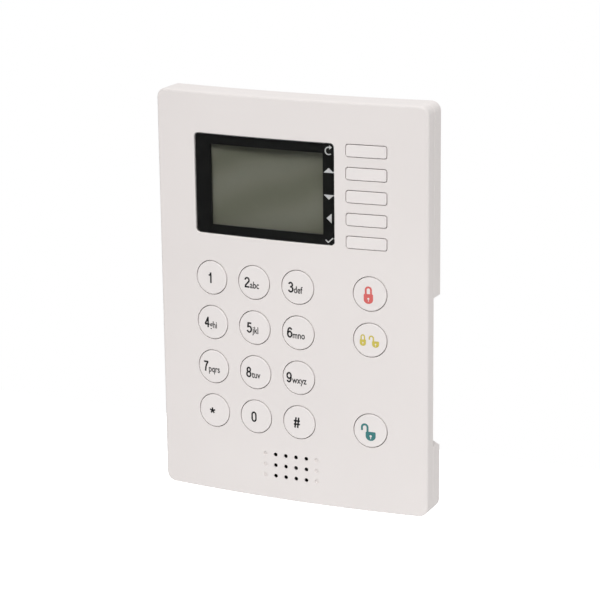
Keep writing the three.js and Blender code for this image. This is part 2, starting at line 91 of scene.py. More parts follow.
# Keys
KEY_RADIUS = 6.38
KEY_GAP = 0.28
KEY_PROUD = 0.28
KEY_EDGE = 0.45
KEY_FLANGE = 0.9
FLANGE_DEPTHS = (2.3, 3.3)
SOFT_KEY_SIZE = (15.36, 4.36)
SOFT_KEY_CORNER = 0.8
SOFT_KEY_EDGE = 0.3
KEY_FACE_SPACING = 1.6
HOLE_EDGE = 0.1

# Silicone mat behind the keys
MAT_THICKNESS = 1.2
MAT_GAP = 0.3
SOFT_POST_SIZE = (KEY_RADIUS, 2)
SOFT_POST_CORNER = 0.3

# Display
LENS_DEPTHS = (0.1, 1.2)
LENS_CORNER = 1.5
LENS_EDGE = 0.2
SEAT_DEPTH = 1.5
SEAT_GAP = 0.2
SEAT_OPENING = (52, 33)
SEAT_OPENING_CORNER = 0.5
DISPLAY_SIZE = (46, 30.5)
DISPLAY_CORNER = 0.3
INK_THICKNESS = 0.04
INK_BEHIND_LENS = 0.03
BORDER_INSET = 0.05
SYMBOL_INSET = 2.25
SYMBOL_SHIFTS = (-0.8, 0.5, -1.0, -0.35, -0.1)

# Sounder grille
GRILLE_PITCH = 4.24
GRILLE_STEPS = 24
GRILLE_RADIUS = 0.78
GRILLE_THROAT = 0.5
GRILLE_FLARE = 1.0
GRILLE_COLUMNS = 6
GRILLE_ROWS = 3
DIMPLE_STEPS = ((0.06, 0.4), (0.18, 0.45))  # inset from the rim, and depth

# Rear housing
BACK_SIZE = (92, 132)
BACK_CORNER = 3
BACK_EDGE = 0.6
BACK_WALL = 2.0
BACK_FLOOR = 2.2
CAVITY_CORNER = 2
CAVITY_FRONT_Y = -17
GRIP_TOP_Z = 5.7
GRIP_BOTTOM_Z = -48.1
GRIP_FOOT_FLARE = 0.52
GRIP_FOOT_BEVEL = (3.9, 0.8)
GRIP_EDGE = 0.8
GRIP_WEB_DEPTH = 7.6
GRIP_LINING = 2.0
LINING_INSET = 0.2
WALL_SLOT_PLACE = (30, 50)
WALL_SLOT_SIZE = (3.8, 9)
WALL_SLOT_CORNER = 1.89
CABLE_ENTRY_Z = -12
CABLE_ENTRY_SIZE = (26, 16)
CABLE_ENTRY_CORNER = 2
CASE_SCREW_CLEARANCE = 0.3
CASE_SCREW_HOLE_RADIUS = 1.3
COUNTERBORE = 1.5
CASE_SCREW_HOLE_LENGTH = 3.5
OVERRUN = 0.5  # how far a cutting tool runs past the face that it opens
FLOOR_TOOL_LEVELS = (-4, 1)  # a tool through the back floor, from inside to behind the wall face
RIM_TOOL_START = 4  # depth at which the rim's cavity starts, in front of the housing
SCREW_TOOL_OVERRUN = 1
FAR = 30  # deeper than the whole case

# Printing on the keys
STROKE = 0.62
DIGIT_HEIGHT = 3.5
LEGEND_FOOT = -2.15
LEGEND_SHIFT = -0.65
LETTER_HEIGHT = 1.65
LETTER_NARROWING = 0.76
LETTER_GAP = 0.12
LETTER_WEIGHT = 0.05

DIGITS = {
    "key_1": ("1", ""),
    "key_2": ("2", "abc"),
    "key_3": ("3", "def"),
    "key_4": ("4", "ghi"),
    "key_5": ("5", "jkl"),
    "key_6": ("6", "mno"),
    "key_7": ("7", "pqrs"),
    "key_8": ("8", "tuv"),
    "key_9": ("9", "wxyz"),
    "key_star": ("*", ""),
    "key_0": ("0", ""),
    "key_hash": ("#", ""),
}
PADLOCK_KEYS = ("key_arm", "key_part_arm", "key_disarm")
ROUND_KEYS = tuple(DIGITS) + PADLOCK_KEYS
SOFT_KEYS = tuple(f"soft_key_{number}" for number in range(1, 6))


# ---------------------------------------------------------------- material nodes

def new_material(name):
    material = bpy.data.materials.new(name)
    material.use_nodes = True
    tree = material.node_tree
    return material, tree, tree.nodes["Principled BSDF"]


def add_node(tree, kind, **settings):
    """Adds a node. A setting names an input socket, or a property of the node if it has no such socket."""
    node = tree.nodes.new(kind)
    for key, value in settings.items():
        label = key.replace("_", " ")
        if label in node.inputs:
            node.inputs[label].default_value = value
        else:
            setattr(node, key, value)
    return node


def object_noise(tree, grain, detail=2.0, stretch=(1, 1, 1)):
    """Noise whose features are about grain millimetres across."""
    place = add_node(tree, "ShaderNodeTexCoord")
    mapping = add_node(tree, "ShaderNodeMapping", Scale=stretch)
    noise = add_node(tree, "ShaderNodeTexNoise", Scale=1 / (grain * MM), Detail=detail)
    tree.links.new(place.outputs["Object"], mapping.inputs["Vector"])
    tree.links.new(mapping.outputs["Vector"], noise.inputs["Vector"])
    return noise


def link_ramp(tree, source, target, low, high, start=0.3, end=0.7):
    """Sends source to target between two grey levels or colours."""
    ramp = add_node(tree, "ShaderNodeValToRGB")
    for element, position, value in zip(ramp.color_ramp.elements, (start, end), (low, high)):
        element.position = position
        colour = value if isinstance(value, tuple) else (value,) * 3
        element.color = (*colour, 1)
    tree.links.new(source, ramp.inputs["Fac"])
    tree.links.new(ramp.outputs["Color"], target)


def link_bump(tree, shader, source, height):
    bump = add_node(tree, "ShaderNodeBump", Strength=1.0, Distance=height * MM)
    tree.links.new(source, bump.inputs["Height"])
    tree.links.new(bump.outputs["Normal"], shader.inputs["Normal"])


def shaded(colour, share):
    return tuple(channel * share for channel in colour)


def grained(name, colour, roughness, grain, height, tone=0.03, patch=25, metallic=0.0, specular=0.5):
    """A moulded or cast surface: fine relief, roughness that follows it, and a slow change of tone."""
    material, tree, shader = new_material(name)
    fine = object_noise(tree, grain, detail=3.0).outputs["Fac"]
    slow = object_noise(tree, patch).outputs["Fac"]
    spread = 0.05
    link_ramp(tree, slow, shader.inputs["Base Color"], shaded(colour, 1 - tone), colour)
    link_ramp(tree, fine, shader.inputs["Roughness"], roughness - spread, roughness + spread)
    link_bump(tree, shader, fine, height)
    shader.inputs["Metallic"].default_value = metallic
    shader.inputs["Specular IOR Level"].default_value = specular
    return material


def case_plastic():
    white = (0.800, 0.755, 0.738)
    return grained("case_abs", white, 0.42, grain=0.35, height=0.006, tone=0.025, patch=40)


def key_plastic():
    white = (0.815, 0.772, 0.757)
    return grained("key_abs", white, 0.42, grain=0.25, height=0.003, tone=0.02, patch=9)


def ink(name, colour):
    return grained(name, colour, 0.45, grain=0.15, height=0.002, tone=0.1, patch=1.2, specular=0.15)


def lens_acrylic():
    """Clear polished acrylic that lamps shine through, with the faintest ripple in its gloss."""
    material, tree, shader = new_material("lens_acrylic")
    shader.inputs["Base Color"].default_value = (0.93, 0.94, 0.93, 1)
    shader.inputs["Transmission Weight"].default_value = 1.0
    shader.inputs["IOR"].default_value = 1.49
    shader.inputs["Roughness"].default_value = 0.0
    ripple = object_noise(tree, 16, detail=0.0)
    link_bump(tree, shader, ripple.outputs["Fac"], 0.004)
    rays = add_node(tree, "ShaderNodeLightPath")
    clear = add_node(tree, "ShaderNodeBsdfTransparent")
    mix = add_node(tree, "ShaderNodeMixShader")
    output = tree.nodes["Material Output"]
    tree.links.new(rays.outputs["Is Shadow Ray"], mix.inputs["Fac"])
    tree.links.new(shader.outputs["BSDF"], mix.inputs[1])
    tree.links.new(clear.outputs["BSDF"], mix.inputs[2])
    tree.links.new(mix.outputs["Shader"], output.inputs["Surface"])
    return material


def lcd_surface():
    """A switched-off display: an olive cell with slow diagonal bands, under a satin polariser."""
    dark = (0.112, 0.112, 0.086)
    light = (0.142, 0.141, 0.114)
    material, tree, shader = new_material("lcd_cell")
    place = add_node(tree, "ShaderNodeTexCoord")
    turn = add_node(tree, "ShaderNodeMapping", Rotation=(0, math.radians(28), 0))
    bands = add_node(
        tree,
        "ShaderNodeTexWave",
        bands_direction="Z",
        Scale=1 / (60 * MM),
        Distortion=5.0,
        Detail=1.0,
        Detail_Scale=0.8,
    )
    tree.links.new(place.outputs["Object"], turn.inputs["Vector"])
    tree.links.new(turn.outputs["Vector"], bands.inputs["Vector"])
    link_ramp(tree, bands.outputs["Fac"], shader.inputs["Base Color"], dark, light, 0, 1)
    pixels = object_noise(tree, 0.4)
    link_ramp(tree, pixels.outputs["Fac"], shader.inputs["Roughness"], 0.4, 0.5)
    shader.inputs["Specular IOR Level"].default_value = 0.15
    return material


def zinc_plate():
    """Bright zinc with turned marks."""
    dull = (0.50, 0.51, 0.52)
    bright = (0.68, 0.69, 0.70)
    material, tree, shader = new_material("zinc_plate")
    marks = object_noise(tree, 0.3, stretch=(1, 6, 1)).outputs["Fac"]
    link_ramp(tree, marks, shader.inputs["Base Color"], dull, bright)
    link_ramp(tree, marks, shader.inputs["Roughness"], 0.22, 0.4)
    shader.inputs["Metallic"].default_value = 1.0
    return material


# ---------------------------------------------------------------- outlines

def arc(x, z, radius, start, end, steps):
    angles = np.linspace(start, end, steps + 1)
    return np.column_stack((x + radius * np.cos(angles), z + radius * np.sin(angles)))


class Circle:
    def __init__(self, x, z, radius, steps=72):
        self.x = x
        self.z = z
        self.radius = radius
        self.steps = steps

    def loop(self, grow=0.0):
        """The outline moved outwards by grow."""
        return arc(self.x, self.z, self.radius + grow, 0, 2 * math.pi, self.steps)[:-1]


class Rectangle:
    """A rounded rectangle. Its sides have points every few millimetres, so that they follow the bow."""

    def __init__(self, x, z, width, height, corner, corner_steps=8, spacing=3.0):
        self.x = x
        self.z = z
        self.corner = corner
        self.corner_steps = corner_steps
        self.half_width = width / 2
        self.half_height = height / 2
        self.across = max(1, round(width / spacing))
        self.upright = max(1, round(height / spacing))

    def loop(self, grow=0.0):
        """The outline moved outwards by grow."""
        radius = max(self.corner + grow, MIN_CORNER)
        reach_x = self.half_width + grow - radius
        reach_z = self.half_height + grow - radius
        corners = []
        for quarter, (side, end) in enumerate(((1, -1), (1, 1), (-1, 1), (-1, -1))):
            start = (quarter - 1) * RIGHT_ANGLE
            centre = (self.x + side * reach_x, self.z + end * reach_z)
            corners.append(arc(*centre, radius, start, start + RIGHT_ANGLE, self.corner_steps))
        following_corners = corners[1:] + corners[:1]
        side_parts = (self.upright, self.across) * 2
        points = []
        for corner, following, parts in zip(corners, following_corners, side_parts):
            side = np.linspace(corner[-1], following[0], parts + 1)[1:-1]
            points += [corner, side]
        return np.vstack(points)


def inside(points, loop):
    """Which of the points lie inside the loop."""
    x, z = points.T
    result = np.zeros(len(points), bool)
    for (x0, z0), (x1, z1) in zip(loop, np.roll(loop, -1, axis=0)):
        if z0 != z1:
            crosses = (z0 > z) != (z1 > z)
            result ^= crosses & (x < (x1 - x0) * (z - z0) / (z1 - z0) + x0)
    return result


def in_region(points, outers, holes):
    """Which of the points lie in any of the outers and in none of the holes."""
    kept = np.any([inside(points, outer) for outer in outers], axis=0)
    for hole in holes:
        kept &= ~inside(points, hole)
    return kept


def grid_points(outers, holes, spacing):
    """Points on a grid inside the region, clear of its outlines."""
    corners = np.vstack(outers)
    low, high = corners.min(0), corners.max(0)
    counts = np.maximum(2, np.ceil((high - low) / spacing)).astype(int) + 1
    axes = [np.linspace(low[axis], high[axis], counts[axis]) for axis in (0, 1)]
    grid = np.array(np.meshgrid(*axes)).reshape(2, -1).T
    grid = grid[in_region(grid, outers, holes)]
    for loop in (*outers, *holes):
        distance = np.linalg.norm(grid[:, None] - loop[None], axis=2).min(1)
        grid = grid[distance > spacing / 2]
    return grid


def filled(outers, holes=(), spacing=1.0):
    """Points and triangles that fill the union of the outers, less the holes."""
    loops = [*outers, *holes]
    edges = []
    start = 0
    for loop in loops:
        count = len(loop)
        edges += [(start + i, start + (i + 1) % count) for i in range(count)]
        start += count
    points = np.vstack([*loops, grid_points(outers, holes, spacing)])
    found = geometry.delaunay_2d_cdt([Vector(point) for point in points], edges, [], 0, 1e-5)
    points = np.array([tuple(point) for point in found[0]])
    triangles = np.array([face for face in found[2] if len(face) == 3])
    kept = in_region(points[triangles].mean(1), outers, holes)
    return points, triangles[kept]


# ---------------------------------------------------------------- meshes

def bow_y(x, depth):
    """Where a depth lies at x: the front is bowed about an upright axis."""
    return BOW_RADIUS - CASE_DEPTH - np.sqrt((BOW_RADIUS - depth) ** 2 - np.square(x))


def rounding(radius, steps=6):
    """Grow and depth of a rounded edge, from the face to the side."""
    angles = np.linspace(0, RIGHT_ANGLE, steps + 1)
    return [(-radius * (1 - math.sin(a)), radius * (1 - math.cos(a))) for a in angles]


class Skin:
    """Collects rings and filled faces, and makes one mesh of them."""

    def __init__(self):
        self.points = []
        self.faces = []

    def add_points(self, flat, level, bowed):
        """Adds points of the front view at a depth, or with bowed off at a y. Returns the first index."""
        start = len(self.points)
        x, z = np.asarray(flat).T
        y = bow_y(x, level) if bowed else np.full(len(x), float(level))
        self.points += np.column_stack((x, y, z)).tolist()
        return start

    def rings(self, steps, bowed=True):
        """Joins loops of equal length, given as (loop, level)."""
        starts = [self.add_points(loop, level, bowed) for loop, level in steps]
        self.join(starts, len(steps[0][0]))

    def join(self, starts, count):
        for near, far in zip(starts, starts[1:]):
            for i in range(count):
                j = (i + 1) % count
                self.faces.append((near + i, near + j, far + j, far + i))

    def face(self, outer, holes, level, spacing=3.0, bowed=True):
        points, triangles = filled([outer], holes, spacing)
        start = self.add_points(points, level, bowed)
        self.faces += (triangles + start).tolist()

    def bridge(self, loop, depth, flat_y):
        """Joins a loop on the bow to the same loop on a plane."""
        self.join([self.add_points(loop, depth, True), self.add_points(loop, flat_y, False)], len(loop))

    def make(self, name, material, smooth_angle=35):
        mesh = bpy.data.meshes.new(name)
        mesh.from_pydata([Vector(point) * MM for point in self.points], [], self.faces)
        finish_mesh(mesh, smooth_angle)
        return new_object(name, mesh, material)


def finish_mesh(mesh, smooth_angle):
    """Joins points that coincide, closes slits, turns faces outwards and smooths all but sharp edges."""
    body = bmesh.new()
    body.from_mesh(mesh)
    bmesh.ops.remove_doubles(body, verts=body.verts, dist=SAME_POINT * MM)
    bmesh.ops.holes_fill(body, edges=body.edges[:], sides=6)
    bmesh.ops.recalc_face_normals(body, faces=body.faces)
    body.to_mesh(mesh)
    body.free()
    mesh.shade_smooth()
    mesh.set_sharp_from_angle(angle=math.radians(smooth_angle))


def paint(item, material):
    item.data.materials.clear()
    item.data.materials.append(material)


def new_object(name, mesh, material):
    item = bpy.data.objects.new(name, mesh)
    bpy.context.scene.collection.objects.link(item)
    if material:
        paint(item, material)
    return item


def even_normals(item):
    """Lets large faces decide the shading beside small rounded edges."""
    modifier = item.modifiers.new("even_normals", "WEIGHTED_NORMAL")
    modifier.keep_sharp = True


def register(item, body, slot, *nodes):
    """Attaches a piece to the body it rides on and hides the CAD nodes that it stands for. slot is not
    used.
    """
    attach(item, body)
    if nodes:
        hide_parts(*nodes)
    return item


# ---------------------------------------------------------------- front cover

CASE_OUTLINE = Rectangle(0, 0, CASE_WIDTH, CASE_HEIGHT, CORNER_RADIUS, corner_steps=12)


def window_outline(grow=0.0):
    low, high = node_box("display_window")
    centre = (low + high) / 2
    size = high - low
    return Rectangle(centre.x, centre.z, size.x + 2 * grow, size.z + 2 * grow, LENS_CORNER + grow)


def seat_opening():
    """The opening behind the lens, with as many points as the seat around it."""
    centre = node_centre("lcd_frame")
    width, height = SEAT_OPENING
    opening = window_outline(SEAT_GAP)
    opening.x = centre.x
    opening.z = centre.z
    opening.half_width = width / 2
    opening.half_height = height / 2
    opening.corner = SEAT_OPENING_CORNER
    return opening


def round_key_outline(name):
    centre = node_centre(name)
    return Circle(centre.x, centre.z, KEY_RADIUS)


def soft_key_outline(name):
    centre = node_centre(name)
    return Rectangle(centre.x, centre.z, *SOFT_KEY_SIZE, SOFT_KEY_CORNER, corner_steps=6)


def grille_places():
    """Centre of each sounder hole, and whether it goes through."""
    centre = node_centre("sounder")
    for column in range(GRILLE_COLUMNS):
        for row in range(GRILLE_ROWS):
            x = centre.x + (column - (GRILLE_COLUMNS - 1) / 2) * GRILLE_PITCH
            z = centre.z + (row - (GRILLE_ROWS - 1) / 2) * GRILLE_PITCH
            yield x, z, 0 < column < GRILLE_COLUMNS - 1


def hole_rings(outline, margin, depth):
    """A hole's side with a rounded rim, margin wider than its outline."""
    rim = [(outline.loop(margin - grow), level) for grow, level in rounding(HOLE_EDGE, 3)]
    return rim + [(outline.loop(margin), depth)]


def cover_holes():
    """Every plain hole through the cover, as rings from the front face to the inner face."""
    holes = [hole_rings(round_key_outline(name), KEY_GAP, WALL) for name in ROUND_KEYS]
    holes += [hole_rings(soft_key_outline(name), KEY_GAP, WALL) for name in SOFT_KEYS]
    for x, z, through in grille_places():
        if through:
            outline = Circle(x, z, GRILLE_RADIUS, GRILLE_STEPS)
            flare = [(outline.loop(GRILLE_FLARE), WALL)]
            holes.append(hole_rings(outline, 0, GRILLE_THROAT) + flare)
    return holes


def add_dimples(skin):
    """The outer sounder holes are shallow bowls. Returns their rims."""
    rims = []
    for x, z, through in grille_places():
        if not through:
            outline = Circle(x, z, GRILLE_RADIUS, GRILLE_STEPS)
            bowl = [(outline.loop(-grow), depth) for grow, depth in rounding(HOLE_EDGE, 3)]
            bowl += [(outline.loop(-inset), depth) for inset, depth in DIMPLE_STEPS]
            skin.rings(bowl)
            skin.face(bowl[-1][0], [], bowl[-1][1])
            rims.append(bowl[0][0])
    return rims


def front_cover(material):
    skin = Skin()
    edge = [(CASE_OUTLINE.loop(grow), depth) for grow, depth in rounding(EDGE_RADIUS, 8)]
    lip = [
        (CASE_OUTLINE.loop(0), PARTING_DEPTH - PARTING_CHAMFER),
        (CASE_OUTLINE.loop(-PARTING_CHAMFER), PARTING_DEPTH),
    ]
    inner = [(CASE_OUTLINE.loop(-WALL), PARTING_DEPTH), (CASE_OUTLINE.loop(-WALL), WALL)]
    skin.rings(edge + lip + inner)
    holes = cover_holes()
    for hole in holes:
        skin.rings(hole)
    seat = hole_rings(window_outline(SEAT_GAP), 0, SEAT_DEPTH)
    opening = seat_opening().loop()
    skin.rings(seat + [(opening, SEAT_DEPTH), (opening, WALL)])
    dimple_rims = add_dimples(skin)
    skin.face(edge[0][0], [hole[0][0] for hole in holes] + [seat[0][0]] + dimple_rims, 0)
    skin.face(inner[-1][0], [hole[-1][0] for hole in holes] + [opening], WALL)
    cover = skin.make("front_cover_shell", material)
    even_normals(cover)
    return register(cover, "case", "white_abs", "front_cover")


# ---------------------------------------------------------------- keys

def key_cap(name, outline, edge_radius, material):
    skin = Skin()
    edge = [(outline.loop(grow), depth - KEY_PROUD) for grow, depth in rounding(edge_radius)]
    near, far = FLANGE_DEPTHS
    flange_loop = outline.loop(KEY_FLANGE)
    flange = [(outline.loop(0), near), (flange_loop, near), (flange_loop, far)]
    skin.rings(edge + flange)
    skin.face(edge[0][0], [], -KEY_PROUD, spacing=KEY_FACE_SPACING)
    skin.face(flange[-1][0], [], far)
    cap = skin.make(f"{name}_cap", material)
    even_normals(cap)
    return register(cap, name, "key_plastic", name)


# ---------------------------------------------------------------- printing

def printed(name, faces, depth, body, slot, material):
    """Ink on a bowed face: faces is a list of (points, polygons) in the front view."""
    skin = Skin()
    for points, polygons in faces:
        start = skin.add_points(points, depth - INK_THICKNESS, True)
        skin.faces += [[start + index for index in polygon] for polygon in polygons]
    mesh = bpy.data.meshes.new(name)
    mesh.from_pydata([Vector(point) * MM for point in skin.points], [], skin.faces)
    thicken(mesh)
    return register(new_object(name, mesh, material), body, slot)


def thicken(mesh):
    """Gives a thin printed shape its rear face and sides."""
    body = bmesh.new()
    body.from_mesh(mesh)
    bmesh.ops.remove_doubles(body, verts=body.verts, dist=SAME_POINT * MM)
    extruded = bmesh.ops.extrude_face_region(body, geom=body.faces[:], use_keep_orig=True)
    moved = [item for item in extruded["geom"] if isinstance(item, bmesh.types.BMVert)]
    bmesh.ops.translate(body, verts=moved, vec=(0, 2 * INK_THICKNESS * MM, 0))
    bmesh.ops.recalc_face_normals(body, faces=body.faces)
    body.to_mesh(mesh)
    body.free()


def letter_faces(text):
    """Small flat letters, with their left end and baseline at the origin."""
    curve = bpy.data.curves.new("lettering", "FONT")
    curve.body = "x"
    item = bpy.data.objects.new("lettering", curve)
    bpy.context.scene.collection.objects.link(item)
    scale = LETTER_HEIGHT / text_mesh(item)[0][:, 1].max()
    curve.body = text
    curve.offset = LETTER_WEIGHT / scale
    curve.resolution_u = 4
    points, polygons = text_mesh(item)
    bpy.data.objects.remove(item)
    bpy.data.curves.remove(curve)
    points = points * (scale * LETTER_NARROWING, scale)
    points[:, 0] -= points[:, 0].min()
    return points, polygons


def text_mesh(item):
    """Points and faces of a text object as it lies in its own plane."""
    bpy.context.view_layer.update()
    evaluated = item.evaluated_get(bpy.context.evaluated_depsgraph_get())
    mesh = evaluated.to_mesh()
    points = np.array([vertex.co[:2] for vertex in mesh.vertices])
    polygons = [list(face.vertices) for face in mesh.polygons]
    evaluated.to_mesh_clear()
    return points, polygons


def stroke(points, width):
    """The outline of a line of even width through the points."""
    points = np.array(points, float)
    steps = np.diff(points, axis=0)
    steps /= np.linalg.norm(steps, axis=1)[:, None]
    normals = np.column_stack((-steps[:, 1], steps[:, 0]))
    before = np.vstack((normals[:1], normals))
    after = np.vstack((normals, normals[-1:]))
    mitre = (before + after) / (1 + (before * after).sum(1))[:, None]
    return np.vstack((points + mitre * width / 2, (points - mitre * width / 2)[::-1]))


def bend(x, z, radius_x, radius_z, start, end):
    """Points along part of an ellipse, from one angle to another in degrees."""
    turns = np.radians(np.linspace(start, end, 25))
    return list(zip(x + radius_x * np.cos(turns), z + radius_z * np.sin(turns)))


def digit_lines():
    """Centre lines of each large character, 1.6 mm wide, with its foot at z = 0."""
    foot = -STROKE / 2
    head = DIGIT_HEIGHT + STROKE / 2
    zero = bend(0.8, 2.5, 0.8, 1.0, 0, 180) + bend(0.8, 1.0, 0.8, 1.0, 180, 360) + [(1.6, 2.5)]
    one = [
        [(1.0, foot), (1.0, head)],
        [(0.1, 2.7), (0.55, 2.78), (0.85, 3.1), (1.0, 3.7)],
    ]
    two = [
        bend(0.8, 2.6, 0.8, 0.9, 175, -35) + [(0.75, 1.3), (0.2, 0.7), (0, 0)],
        [(-0.26, 0), (1.75, 0)],
    ]
    three = [
        bend(0.75, 2.68, 0.7, 0.82, 165, -75),
        bend(0.75, 0.93, 0.85, 0.95, 100, -165),
        [(0.5, 1.87), (0.9, 1.87)],
    ]
    four = [
        [(1.25, foot), (1.25, head)],
        [(1.2, 3.45), (0, 1.0)],
        [(-0.15, 0.95), (1.85, 0.95)],
    ]
    five = [
        [(1.65, DIGIT_HEIGHT), (0.35, DIGIT_HEIGHT), (0.12, 1.75)],
        bend(0.75, 1.12, 0.87, 1.12, 140, -160),
    ]
    six = [
        bend(0.8, 1.08, 0.8, 1.08, 0, 360),
        bend(0.9, 1.6, 0.9, 1.9, 42, 185),
    ]
    seven = [
        [(-0.1, DIGIT_HEIGHT), (1.75, DIGIT_HEIGHT)],
        [(1.6, DIGIT_HEIGHT), (1.0, 2.4), (0.65, 1.3), (0.5, foot)],
    ]
    eight = [
        bend(0.8, 2.67, 0.66, 0.83, 0, 360),
        bend(0.8, 0.93, 0.82, 0.95, 0, 360),
    ]
    nine = [[(1.6 - x, DIGIT_HEIGHT - z) for x, z in line] for line in six]
    hub = (0.8, 1.75)
    star = [[hub, bend(*hub, 1.15, 1.15, angle, angle)[0]] for angle in range(90, 450, 72)]
    uprights = [[(x, foot), (x + 0.5, head)] for x in (0.05, 1.15)]
    bars = [[(-0.4, z), (2.1, z)] for z in (1.1, 2.4)]
    return {
        "0": [zero],
        "1": one,
        "2": two,
        "3": three,
        "4": four,
        "5": five,
        "6": six,
        "7": seven,
        "8": eight,
        "9": nine,
        "*": star,
        "#": uprights + bars,
    }


def key_legend(name, digit, letters, material):
    """A digit, with its small letters on the same baseline."""
    outlines = [stroke(line, STROKE) for line in digit_lines()[digit]]
    width = max(outline[:, 0].max() for outline in outlines)
    centre = node_centre(name)
    baseline = centre.z + LEGEND_FOOT
    points, polygons = filled(outlines)
    if letters:
        small, small_polygons = letter_faces(letters)
        left = centre.x + LEGEND_SHIFT - (width + LETTER_GAP + small[:, 0].max()) / 2
        faces = [
            (points + (left, baseline + STROKE / 2), polygons),
            (small + (left + width + LETTER_GAP, baseline), small_polygons),
        ]
    else:
        left = centre.x + LEGEND_SHIFT - width / 2
        faces = [(points + (left, baseline + STROKE / 2), polygons)]
    return printed(f"{name}_legend", faces, -KEY_PROUD, name, "key_plastic", material)


def lock_body(x, top, width, height):
    """A shield shape: square shoulders and a round foot."""
    half = width / 2
    shoulder = 0.12 * width
    foot_drop = 0.9 * half
    foot = top - height + foot_drop
    upper = [
        arc(x + half - shoulder, top - shoulder, shoulder, 0, RIGHT_ANGLE, 4),
        arc(x - half + shoulder, top - shoulder, shoulder, RIGHT_ANGLE, math.pi, 4),
    ]
    turns = np.linspace(math.pi, 2 * math.pi, 17)
    lower = np.column_stack((x + half * np.cos(turns), foot + foot_drop * np.sin(turns)))
    return np.vstack((*upper, lower))


def keyhole(x, z, radius):
    """A round hole with a narrow slot below it."""
    slot = 0.35 * radius
    slot_foot = z - 2.6 * radius
    opening = math.asin(slot / radius)
    rim = arc(x, z, radius, -RIGHT_ANGLE + opening, 1.5 * math.pi - opening, 16)
    tail = np.array([(x - slot, slot_foot), (x + slot, slot_foot)])
    return np.vstack((rim, tail))


def padlock(x, z, width, height, lift, shackle_shift=0, loose_leg=0):
    """A padlock with the middle of its body at x, z, and a shackle that stands lift above the body.

    loose_leg is the length of a leg that hangs free, or 0 if both legs end in the body.
    """
    top = z + height / 2
    thickness = 0.2 * width
    radius = 0.28 * width
    bend_z = top + lift - radius - thickness / 2
    shackle_x = x + shackle_shift
    overlap = 0.05
    foot = top - overlap
    loose_foot = bend_z - loose_leg if loose_leg else foot
    shackle = [(shackle_x + radius, foot), *bend(shackle_x, bend_z, radius, radius, 0, 180)]
    shackle.append((shackle_x - radius, loose_foot))
    hole_z = z + 0.02 * height
    hole_radius = 0.115 * width
    outers = [lock_body(x, top, width, height), stroke(shackle, thickness)]
    return filled(outers, [keyhole(x, hole_z, hole_radius)])


def padlock_legends(red, yellow, teal):
    """A closed padlock, a small closed one beside a small open one, and an open one."""
    arm = node_centre("key_arm")
    part = node_centre("key_part_arm")
    disarm = node_centre("key_disarm")
    closed = padlock(arm.x - 0.5, arm.z - 1.8, 3.6, 3.7, 2.9)
    small_closed = padlock(part.x - 2.7, part.z - 1.1, 2.4, 2.4, 2.0)
    small_opened = padlock(part.x + 2.2, part.z - 1.4, 2.7, 2.4, 2.1, shackle_shift=-1.6, loose_leg=0.6)
    opened = padlock(disarm.x + 0.2, disarm.z - 2.1, 3.9, 3.5, 3.1, shackle_shift=-2.3, loose_leg=1.2)
    for key, shapes, colour in (
        ("key_arm", [closed], red),
        ("key_part_arm", [small_closed, small_opened], yellow),
        ("key_disarm", [opened], teal),
    ):
        printed(f"{key}_symbol", shapes, -KEY_PROUD, key, "key_plastic", colour)


# ---------------------------------------------------------------- display

def display_lens(material):
    outline = window_outline()
    near, far = LENS_DEPTHS
    skin = Skin()
    edge = [(outline.loop(grow), near + depth) for grow, depth in rounding(LENS_EDGE, 4)]
    skin.rings(edge + [(outline.loop(0), far)])
    skin.face(edge[0][0], [], near)
    skin.face(outline.loop(0), [], far)
    lens = skin.make("display_lens", material)
    even_normals(lens)
    return register(lens, "case", "smoked_acrylic", "display_window")


def display_border(material):
    """Black print behind the lens, round the part of the cell that shows."""
    centre = node_centre("lcd_glass")
    near = LENS_DEPTHS[1] + INK_BEHIND_LENS
    far = near + INK_THICKNESS
    outer = window_outline().loop(-BORDER_INSET)
    hole = Rectangle(centre.x, centre.z, *DISPLAY_SIZE, DISPLAY_CORNER).loop()
    skin = Skin()
    skin.rings([(outer, near), (outer, far)])
    skin.rings([(hole, near), (hole, far)])
    skin.face(outer, [hole], near)
    skin.face(outer, [hole], far)
    border = skin.make("display_border", material)
    return register(border, "case", "smoked_acrylic")


def triangle(x, z, half_width, height, turn):
    """An arrowhead that points up, turned about its middle."""
    corners = np.array([(-half_width, -height / 2), (half_width, -height / 2), (0, height / 2)])
    spin = np.array([(math.cos(turn), math.sin(turn)), (-math.sin(turn), math.cos(turn))])
    return corners @ spin + (x, z)


def display_symbols(material):
    """One symbol near each soft key: return, up, down, left and tick."""
    x = node_box("display_window")[1].x - SYMBOL_INSET
    depth = LENS_DEPTHS[1] + INK_BEHIND_LENS
    top, up, down, left, enter = (
        node_centre(name).z + shift for name, shift in zip(SOFT_KEYS, SYMBOL_SHIFTS)
    )
    arrow_head = triangle(x + 0.8, top + 1.3, 0.8, 1.0, -RIGHT_ANGLE)
    tick = [(x - 1.4, enter + 0.1), (x - 0.4, enter - 0.8), (x + 1.5, enter + 0.9)]
    shapes = [
        [stroke(bend(x, top, 1.3, 1.35, 70, 310), 0.42), arrow_head],
        [triangle(x, up, 2.0, 1.8, 0)],
        [triangle(x, down, 2.0, 1.8, math.pi)],
        [triangle(x, left, 1.8, 2.0, RIGHT_ANGLE)],
        [stroke(tick, 0.4)],
    ]
    faces = [filled(shape) for shape in shapes]
    return printed("display_symbols", faces, depth, "case", "smoked_acrylic", material)


# ---------------------------------------------------------------- rear housing

def prism(outline_loops, bowed=True):
    """A closed body between two loops, given as (loop, level)."""
    skin = Skin()
    skin.rings(outline_loops, bowed)
    for loop, level in (outline_loops[0], outline_loops[-1]):
        skin.face(loop, [], level, bowed=bowed)
    return skin.make("tool", None)


